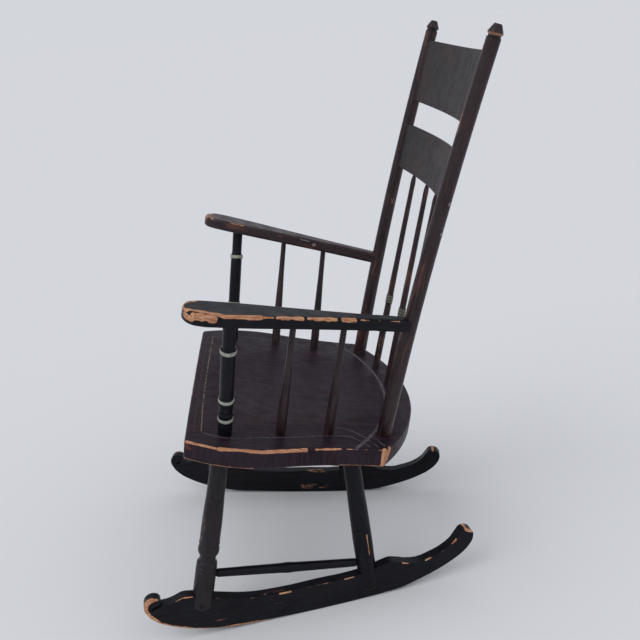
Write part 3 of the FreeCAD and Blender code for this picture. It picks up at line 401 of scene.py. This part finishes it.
# What stands on the seat: its place there, and how far along the arm its head is
POST_SPOT, POST_ALONG = (0.2202, -0.1515), 0.318
SPINDLES = (("front", (0.2084, -0.0535), 0.211), ("rear", (0.1976, 0.0335), 0.121))
BACK_FOOT_STEP, BACK_FOOT_BEHIND = 0.0752, 0.178
BACK_HEAD_STEP, BACK_HEAD_BEHIND, BACK_HEAD_HEIGHT = 0.085, 0.265, 0.757

# Painted rings: distance from the foot, half width, colour
POST_RINGS = [(0.0375, 0.0034, CREAM), (0.0475, 0.0026, DARK_BAND), (0.0798, 0.0034, CREAM),
              (0.0712, 0.0022, DARK_BAND), (0.1848, 0.0036, CREAM)]
BACK_SPINDLE_RINGS = [(0.1530, 0.0021, OLIVE), (0.1587, 0.0020, OLIVE), (0.1643, 0.0021, OLIVE)]

ARMS = {side: arm_frame(side) for side in (1, -1)}
ROCKERS = {side: Matrix.Translation((side * 0.1977, 0.025 + FORWARD_SHIFT, 0)) @
           Matrix.Rotation(side * math.radians(9.64), 4, "Z") for side in (1, -1)}


def on_arm(side, out, along, up):
    """Point of an arm: out from the sitter, along from the back post, up from its middle layer."""
    return ARMS[side] @ Vector((-side * out, along, up))


def on_rocker(side, out, along, height):
    return ROCKERS[side] @ Vector((side * out, along, height))


def front_leg(side):
    return on_rocker(side, 0, -0.2666, 0.062), under_seat(side * 0.205, -0.1555)


def rear_leg(side):
    return on_rocker(side, 0, 0.0597, 0.019), under_seat(side * 0.155, 0.079)


def at_level(line, height):
    foot, head = line
    return foot.lerp(head, (height - foot.z) / (head.z - foot.z))


def arm_half(along):
    """Half width of an arm at a distance from the back post."""
    steps = ((0.0, 0.0125), (0.12, 0.016), (0.212, 0.0225), (0.300, 0.0295), (0.342, 0.031), (0.368, 0.0303),
             (0.3845, 0.024), (0.393, 0.0112), (0.3951, 0.0))
    for (start, first), (end, second) in zip(steps, steps[1:]):
        if along <= end:
            return first + (second - first) * (along - start) / (end - start)
    return 0.0


def arris_run(side, start, end, width, ragged, inner=False, up=0.0095):
    """Worn stretch of an arm's upper arris, in steps that follow its curve."""
    steps = max(1, round(abs(end - start) / 0.05))
    runs = []
    for index in range(steps):
        first = start + (end - start) * index / steps
        second = start + (end - start) * (index + 1) / steps
        sign = -1 if inner else 1
        runs.append((on_arm(side, sign * (arm_half(first) - 0.0015), first, up),
                     on_arm(side, sign * (arm_half(second) - 0.0015), second, up), width, ragged))
    return runs


# Wear that the photograph shows, piece by piece

NEAR, FAR = 1, -1
ARM_CHIPS = {
    NEAR: arris_run(NEAR, 0.392, 0.277, 0.0042, 0.006)
    + arris_run(NEAR, 0.272, 0.256, 0.0016, 0.004)
    + arris_run(NEAR, 0.249, 0.206, 0.0034, 0.010)
    + arris_run(NEAR, 0.196, 0.188, 0.0020, 0.005)
    + arris_run(NEAR, 0.184, 0.147, 0.0036, 0.008)
    + arris_run(NEAR, 0.133, 0.112, 0.0042, 0.007)
    + arris_run(NEAR, 0.100, 0.084, 0.0014, 0.003)
    + arris_run(NEAR, 0.066, 0.028, 0.0009, 0.002)
    + arris_run(NEAR, 0.393, 0.366, 0.0024, 0.004, inner=True)
    + [(on_arm(NEAR, 0.026, 0.384, 0.005), on_arm(NEAR, 0.031, 0.352, 0.005), 0.0062, 0.011),
       (on_arm(NEAR, 0.012, 0.393, 0.002), on_arm(NEAR, 0.024, 0.385, 0.000), 0.0050, 0.009),
       (on_arm(NEAR, -0.010, 0.394, 0.008), on_arm(NEAR, 0.010, 0.394, 0.008), 0.0022, 0.005)],
    FAR: arris_run(FAR, 0.392, 0.372, 0.0020, 0.004, inner=True)
    + arris_run(FAR, 0.330, 0.300, 0.0008, 0.004, inner=True)
    + [(on_arm(FAR, -0.020, 0.387, 0.0095), on_arm(FAR, 0.020, 0.387, 0.0095), 0.0022, 0.006),
       (on_arm(FAR, 0.000, 0.3945, 0.006), on_arm(FAR, 0.022, 0.386, 0.006), 0.0030, 0.006)],
}
ARM_MARKS = {
    NEAR: [],
    FAR: [(on_arm(FAR, -arm_half(0.140), 0.140, 0.001), on_arm(FAR, -arm_half(0.140), 0.142, 0.001), 0.0032,
           0.001, (0.20, 0.15, 0.14, 1)),
          (on_arm(FAR, -arm_half(0.150), 0.152, 0.006), on_arm(FAR, -arm_half(0.172), 0.172, 0.007), 0.0009,
           0.001, (0.16, 0.14, 0.13, 1))],
}


def seat_side(y):
    """Distance of the plank's side from the middle, at a distance behind the middle of the seat."""
    if y < -0.052:
        share = (y + 0.219) / 0.167
        return 0.2535 + 0.015 * share + 0.0156 * 4 * share * (1 - share)
    share = (y + 0.052) / 0.185
    return 0.2685 - 0.024 * share - 0.0061 * 4 * share * (1 - share)


def rim_run(side, start, end, width, ragged, depth=-0.0015):
    """Worn stretch along the side of the plank, at a depth below its top."""
    steps = max(1, round((end - start) / 0.06))
    runs = []
    for index in range(steps):
        first = start + (end - start) * index / steps
        second = start + (end - start) * (index + 1) / steps
        runs.append((on_seat(side * (seat_side(first) - 0.001), first, depth),
                     on_seat(side * (seat_side(second) - 0.001), second, depth), width, ragged))
    return runs


UNDER_RIM = 0.0015 - SEAT_THICKNESS
SEAT_CHIPS = (
    rim_run(NEAR, -0.216, -0.165, 0.0022, 0.004)
    + rim_run(NEAR, -0.160, -0.010, 0.0034, 0.004)
    + rim_run(NEAR, 0.008, 0.052, 0.0020, 0.006)
    + rim_run(NEAR, 0.062, 0.126, 0.0006, 0.003)
    + rim_run(NEAR, -0.214, -0.100, 0.0020, 0.004, UNDER_RIM)
    + rim_run(NEAR, -0.060, 0.030, 0.0006, 0.004, UNDER_RIM)
    + rim_run(NEAR, 0.055, 0.128, 0.0016, 0.003, UNDER_RIM)
    + [(on_seat(0.2425, 0.131, -0.002), on_seat(0.2425, 0.131, -0.034), 0.0050, 0.005),
       (on_seat(0.2350, 0.142, -0.003), on_seat(0.2400, 0.137, -0.020), 0.0060, 0.007)]
    + rim_run(FAR, -0.216, -0.150, 0.0012, 0.004)
    + rim_run(FAR, -0.120, 0.000, 0.0006, 0.004)
    + [(on_seat(-0.2425, 0.131, -0.002), on_seat(-0.2425, 0.131, -0.030), 0.0030, 0.006),
       (on_seat(-0.150, -0.220, -0.002), on_seat(0.150, -0.220, -0.002), 0.0008, 0.005)])
SEAT_RUB = (0.090, 0.034, 0.026, 1)
SEAT_MARKS = [
    (on_seat(0.262, -0.165, -0.018), on_seat(0.268, -0.135, -0.022), 0.0050, 0.012, SEAT_RUB),
    (on_seat(0.268, -0.150, -0.010), on_seat(0.270, -0.100, -0.014), 0.0014, 0.008, SEAT_RUB),
    (on_seat(0.255, -0.214, -0.010), on_seat(0.256, -0.200, -0.014), 0.0040, 0.010, SEAT_RUB),
]


def rocker_chips(side):
    """Bare scroll, sole and arris of one rocker, in its own frame."""
    face = 0.0105
    half = 0.011

    def run(points, width, ragged, out=face):
        spots = [on_rocker(side, out, along, height) for along, height in points]
        return [(start, end, width, ragged) for start, end in zip(spots, spots[1:])]

    nose = [(-0.340, 0.1075), (-0.353, 0.1082), (-0.364, 0.1020), (-0.3692, 0.0915), (-0.364, 0.0735),
            (-0.350, 0.0550), (-0.326, 0.0392), (-0.291, 0.0243)]
    sole = [(-0.291, 0.0243), (-0.250, 0.0130), (-0.200, 0.0085), (-0.150, 0.0045)]
    saddle = [(-0.311, 0.0934), (-0.2985, 0.0976), (-0.280, 0.0950)]
    top = [(-0.240, 0.0812), (-0.1724, 0.0624), (-0.1065, 0.0574), (-0.040, 0.0575), (0.024, 0.0570)]
    tail = [(0.140, 0.0600), (0.1625, 0.0570), (0.1897, 0.0620), (0.2119, 0.0700), (0.2355, 0.0860)]
    chips = run(nose[:2], 0.0034, 0.006) + run(nose[1:6], 0.0054, 0.006) + run(nose[5:], 0.0034, 0.006)
    chips += run(sole, 0.0017, 0.005)
    chips += run(saddle, 0.0010, 0.003) + run(top, 0.0005, 0.002)
    chips += run([(-0.118, 0.0575), (-0.098, 0.0572)], 0.0018, 0.003)
    chips += run([(0.010, 0.0570), (0.028, 0.0575)], 0.0014, 0.003)
    chips += run(tail, 0.0005, 0.002) + run([(0.128, 0.0640), (0.140, 0.0600)], 0.0016, 0.003)
    chips += run([(0.176, 0.0580), (0.186, 0.0610)], 0.0015, 0.003)
    chips += run([(0.232, 0.0830), (0.240, 0.0905)], 0.0017, 0.004)
    chips += [(on_rocker(side, -half, 0.262, 0.1085), on_rocker(side, half, 0.262, 0.1085), 0.0030, 0.006),
              (on_rocker(side, face, 0.262, 0.1090), on_rocker(side, face, 0.274, 0.1010), 0.0026, 0.006)]
    return chips


# Height of each white speck on the near stile as a share of its length, and how far round it sits
STILE_SPECKS = [(0.655, 0.2), (0.632, 0.4), (0.610, 0.1), (0.575, 0.3), (0.560, 0.5)]
SPECK_WHITE, COLLAR_TAN = (0.42, 0.36, 0.32, 1), (0.30, 0.150, 0.095, 1)


def paint_legs(name, side):
    """Both legs of one side, with a worn streak up the rear one, and the stretcher between them."""
    front, rear = front_leg(side), rear_leg(side)
    outwards = Vector((side * 0.017, 0.009, 0))
    streak = (at_level(rear, 0.100) + outwards, at_level(rear, 0.142) + outwards, 0.0012, 0.003)
    damage = 0.55 if side == NEAR else 0.4
    dress("front_leg_" + name, finish("front_leg_" + name, BROWN_LEG, *front, nicks=damage))
    dress("rear_leg_" + name, finish("rear_leg_" + name, CHARCOAL, *rear, nicks=0.42, chips=[streak]))
    dress("side_stretcher_" + name, finish("side_stretcher_" + name, CHARCOAL, at_level(front, 0.128),
                                           at_level(rear, 0.0735), nicks=0.35))
    dress("rocker_" + name, finish("rocker_" + name, CHARCOAL, on_rocker(side, 0, -0.3, 0.03),
                                   on_rocker(side, 0, 0.25, 0.03), chips=rocker_chips(side), nicks=0.42))


def paint_arm(name, side):
    """An arm with the ringed post and the two spindles that carry it."""
    foot, head = on_seat(side * POST_SPOT[0], POST_SPOT[1]), on_arm(side, 0, POST_ALONG, -ARM_HALF_THICKNESS)
    dress("arm_post_" + name, finish("arm_post_" + name, CHARCOAL, foot, head, rings=POST_RINGS))
    for which, (x, y), along in SPINDLES:
        foot, head = on_seat(side * x, y), on_arm(side, 0, along, -ARM_HALF_THICKNESS)
        label = "arm_spindle_%s_%s" % (which, name)
        dress(label, finish(label, OXBLOOD, foot, head, nicks=0.45))
    dress("arm_" + name, finish("arm_" + name, CHARCOAL if side == NEAR else OXBLOOD, on_arm(side, 0, 0, 0),
                                on_arm(side, 0, ARM_LENGTH, 0), chips=ARM_CHIPS[side], marks=ARM_MARKS[side],
                                nicks=0.35))


def paint_stile(name, side):
    """A stile: the near one has white specks and a worn collar, the far one a bare patch by the crest."""
    foot, head = stile_at(side, 0.0), stile_at(side, 1.0)
    reach = (head - foot).length
    specks, wear, rings = [], [], [(reach + 0.0005, 0.0022, DARK_BAND)]
    if side == NEAR:
        for share, lean in STILE_SPECKS:
            spot = stile_at(side, share) + Vector((0.0095, 0.004 + 0.008 * lean, 0))
            specks.append((spot, spot + Vector((0, 0.001, 0.003)), 0.0011, 0.003, SPECK_WHITE))
        rings.insert(0, (reach + 0.0052, 0.0018, COLLAR_TAN))
    else:
        before = Vector((side * 0.004, -0.012, 0))
        wear.append((stile_at(side, 0.905) + before, stile_at(side, 0.862) + before, 0.0035, 0.010))
    dress("back_post_" + name, finish("back_post_" + name, OXBLOOD, foot, head, squeeze=0.14, marks=specks,
                                      nicks=0.62 if side == NEAR else 0.45, chips=wear, rings=rings))


for name, side in SIDES.items():
    paint_legs(name, side)
    paint_arm(name, side)
    paint_stile(name, side)

for label, leg, height in (("front_stretcher", front_leg, 0.168), ("rear_stretcher", rear_leg, 0.150)):
    dress(label, finish(label, CHARCOAL, at_level(leg(NEAR), height), at_level(leg(FAR), height), nicks=0.35))
dress("rocker_pins", finish("rocker_pins", CHARCOAL, (0, 0, 0), (1, 0, 0), nicks=0.5))
GROOVE_BEND, GROOVE_BEHIND, GROOVE_HALF_WIDTH = 0.396, 0.1635, 0.0030
GROOVE = (on_seat(0, GROOVE_BEHIND - GROOVE_BEND), SEAT_UP, GROOVE_BEND, GROOVE_HALF_WIDTH, LINE_GREY)
dress("seat", finish("seat", SEAT_PAINT, on_seat(0, 0), on_seat(0, 1), squeeze=0.07, top_side=SEAT_UP,
                     chips=SEAT_CHIPS, marks=SEAT_MARKS, nicks=0.30, groove=GROOVE))
for label, low in (("crest_slat", 0.895), ("lower_slat", 0.764)):
    dress(label, finish(label, SLAT_PAINT, (-0.2, 0.3, low), (0.2, 0.3, low), squeeze=0.45))
for index in range(4):
    step = 1.5 - index
    label = "back_spindle_%d" % (index + 1)
    dress(label, finish(label, OXBLOOD, on_seat(step * BACK_FOOT_STEP, BACK_FOOT_BEHIND),
                        Vector((step * BACK_HEAD_STEP, BACK_HEAD_BEHIND, BACK_HEAD_HEIGHT)), nicks=0.5,
                        rings=BACK_SPINDLE_RINGS))


# Striping: thin painted lines on the seat, each a ribbon just proud of the wood

def smooth(points, count=8):
    """Points of a smooth curve through the given ones."""
    spots = [Vector(point) for point in points]
    spots = [spots[0] * 2 - spots[1]] + spots + [spots[-1] * 2 - spots[-2]]
    result = []
    for a, b, c, d in zip(spots, spots[1:], spots[2:], spots[3:]):
        for index in range(count):
            t = index / count
            result.append(((b * 2) + (c - a) * t + (a * 2 - b * 5 + c * 4 - d) * t * t
                           + (b * 3 - a - c * 3 + d) * t ** 3) / 2)
    return result + [spots[-2]]


def ribbons(name, lines, width, tint):
    """One mesh of flat ribbons that lie on the seat. Lines are lists of (x, y) on its top face."""
    proud, sunk = 0.00018, -0.0003
    verts, faces = [], []
    for line in lines:
        points = smooth(line)
        base = len(verts)
        for index, point in enumerate(points):
            before, after = points[max(index - 1, 0)], points[min(index + 1, len(points) - 1)]
            way = (after - before).normalized()
            aside = Vector((-way.y, way.x)) * width / 2
            for spot, level in ((point - aside, proud), (point + aside, proud), (point + aside, sunk),
                                (point - aside, sunk)):
                verts.append(on_seat(spot.x, spot.y, level))
        for index in range(len(points) - 1):
            a, b = base + index * 4, base + index * 4 + 4
            for corner in range(4):
                following = (corner + 1) % 4
                faces.append((a + corner, a + following, b + following, b + corner))
        last = base + (len(points) - 1) * 4
        faces += [(base + 3, base + 2, base + 1, base), (last, last + 1, last + 2, last + 3)]
    mesh = bpy.data.meshes.new(name)
    mesh.from_pydata(verts, [], faces)
    piece = bpy.data.objects.new(name, mesh)
    bpy.context.scene.collection.objects.link(piece)
    material = bpy.data.materials.new(name + "_paint")
    material.use_nodes = True
    desk = Desk(material.node_tree)
    shader = material.node_tree.nodes["Principled BSDF"]
    place = desk.add("ShaderNodeTexCoord").outputs["Object"]
    worn = desk.ease(desk.clouds(place, 160.0, 5.0, 0.65), 0.38, 0.54)
    desk.feed(shader.inputs["Base Color"], desk.mix(worn, LINE_WORN, tint))
    shader.inputs["Roughness"].default_value = 0.5
    shader.inputs["Specular IOR Level"].default_value = SEAT_PAINT["sheen"]
    mesh.materials.append(material)
    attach(piece, "root")
    return piece


SIDE_LINE = [(0.2217, -0.1918), (0.2299, -0.1719), (0.2354, -0.1509), (0.2344, -0.1283), (0.2271, -0.0828),
             (0.2176, -0.0198), (0.2088, 0.0139), (0.2039, 0.0651), (0.2103, 0.0813), (0.2272, 0.0962),
             (0.2390, 0.1060)]
CORNER_LINE = [(0.1710, 0.0512), (0.1818, 0.0760), (0.2001, 0.0962), (0.2251, 0.1133), (0.2374, 0.1200)]
REAR_LINE = [(0.1915, 0.1092), (0.2110, 0.1215), (0.2310, 0.1326)]


def both_sides(line):
    return [line, [(-x, y) for x, y in line]]


ribbons("seat_side_striping", both_sides(SIDE_LINE) + both_sides(CORNER_LINE) + both_sides(REAR_LINE), 0.0021,
        LINE_GREY)
ribbons("seat_front_striping", [[(-0.226, -0.1945), (-0.110, -0.1962), (0.0, -0.1968), (0.110, -0.1962),
                                 (0.219, -0.1925)]], 0.0022, LINE_TAN)
ribbons("seat_front_edge_striping", [[(-0.221, -0.2055), (0.0, -0.2082), (0.221, -0.2055)]], 0.0034,
        LINE_BROWN)


# Floor, light and camera

BACKDROP, FLOOR_PALE, FLOOR_REACH = (0.655, 0.675, 0.718, 1), (0.79, 0.793, 0.804, 1), 60.0
SKY_LIGHT, SKY_STRENGTH = (0.90, 0.93, 1.0, 1), 0.62
SUNS = (("key", (1.2, -2.2, 2.6), 0.85, 50), ("fill", (1.4, 1.6, 2.2), 0.35, 60))
VIEW_FROM, VIEW_TURN = (1.4658, -0.0219 + FORWARD_SHIFT, 1.0867), (68.7076, 4.5334, 85.8304)

def studio():
    world = bpy.data.worlds.new("studio")
    bpy.context.scene.world = world
    world.use_nodes = True
    desk = Desk(world.node_tree)
    back = world.node_tree.nodes["Background"]
    back.inputs["Color"].default_value = SKY_LIGHT
    back.inputs["Strength"].default_value = SKY_STRENGTH
    scenery = desk.add("ShaderNodeBackground")
    scenery.inputs["Color"].default_value = BACKDROP
    scenery.inputs["Strength"].default_value = 1.0
    blend = desk.add("ShaderNodeMixShader")
    desk.feed(blend.inputs[0], desk.add("ShaderNodeLightPath").outputs["Is Camera Ray"])
    desk.feed(blend.inputs[1], back.outputs[0])
    desk.feed(blend.inputs[2], scenery.outputs[0])
    desk.feed(world.node_tree.nodes["World Output"].inputs["Surface"], blend.outputs[0])
    floor_mesh = bpy.data.meshes.new("floor")
    corners = [(x * FLOOR_REACH, y * FLOOR_REACH, 0) for x, y in ((-1, -1), (1, -1), (1, 1), (-1, 1))]
    floor_mesh.from_pydata(corners, [], [(0, 1, 2, 3)])
    floor = bpy.data.objects.new("floor", floor_mesh)
    bpy.context.scene.collection.objects.link(floor)
    pale = bpy.data.materials.new("pale_floor")
    pale.use_nodes = True
    shader = pale.node_tree.nodes["Principled BSDF"]
    shader.inputs["Base Color"].default_value = FLOOR_PALE
    shader.inputs["Roughness"].default_value = 0.95
    shader.inputs["Specular IOR Level"].default_value = 0.05
    floor_mesh.materials.append(pale)
    for name, place, power, spread in SUNS:
        lamp = bpy.data.lights.new(name, "SUN")
        lamp.energy = power
        lamp.angle = math.radians(spread)
        holder = bpy.data.objects.new(name, lamp)
        holder.location = place
        holder.rotation_euler = (-Vector(place)).to_track_quat("-Z", "Y").to_euler()
        bpy.context.scene.collection.objects.link(holder)


def camera():
    lens = bpy.data.cameras.new("photo_view")
    lens.lens = 45.0
    lens.sensor_width = 36.0
    lens.clip_end = 200.0
    holder = bpy.data.objects.new("photo_view", lens)
    holder.location = VIEW_FROM
    holder.rotation_euler = [math.radians(angle) for angle in VIEW_TURN]
    bpy.context.scene.collection.objects.link(holder)
    bpy.context.scene.camera = holder


studio()
camera()
bpy.context.scene.view_settings.view_transform = "Standard"
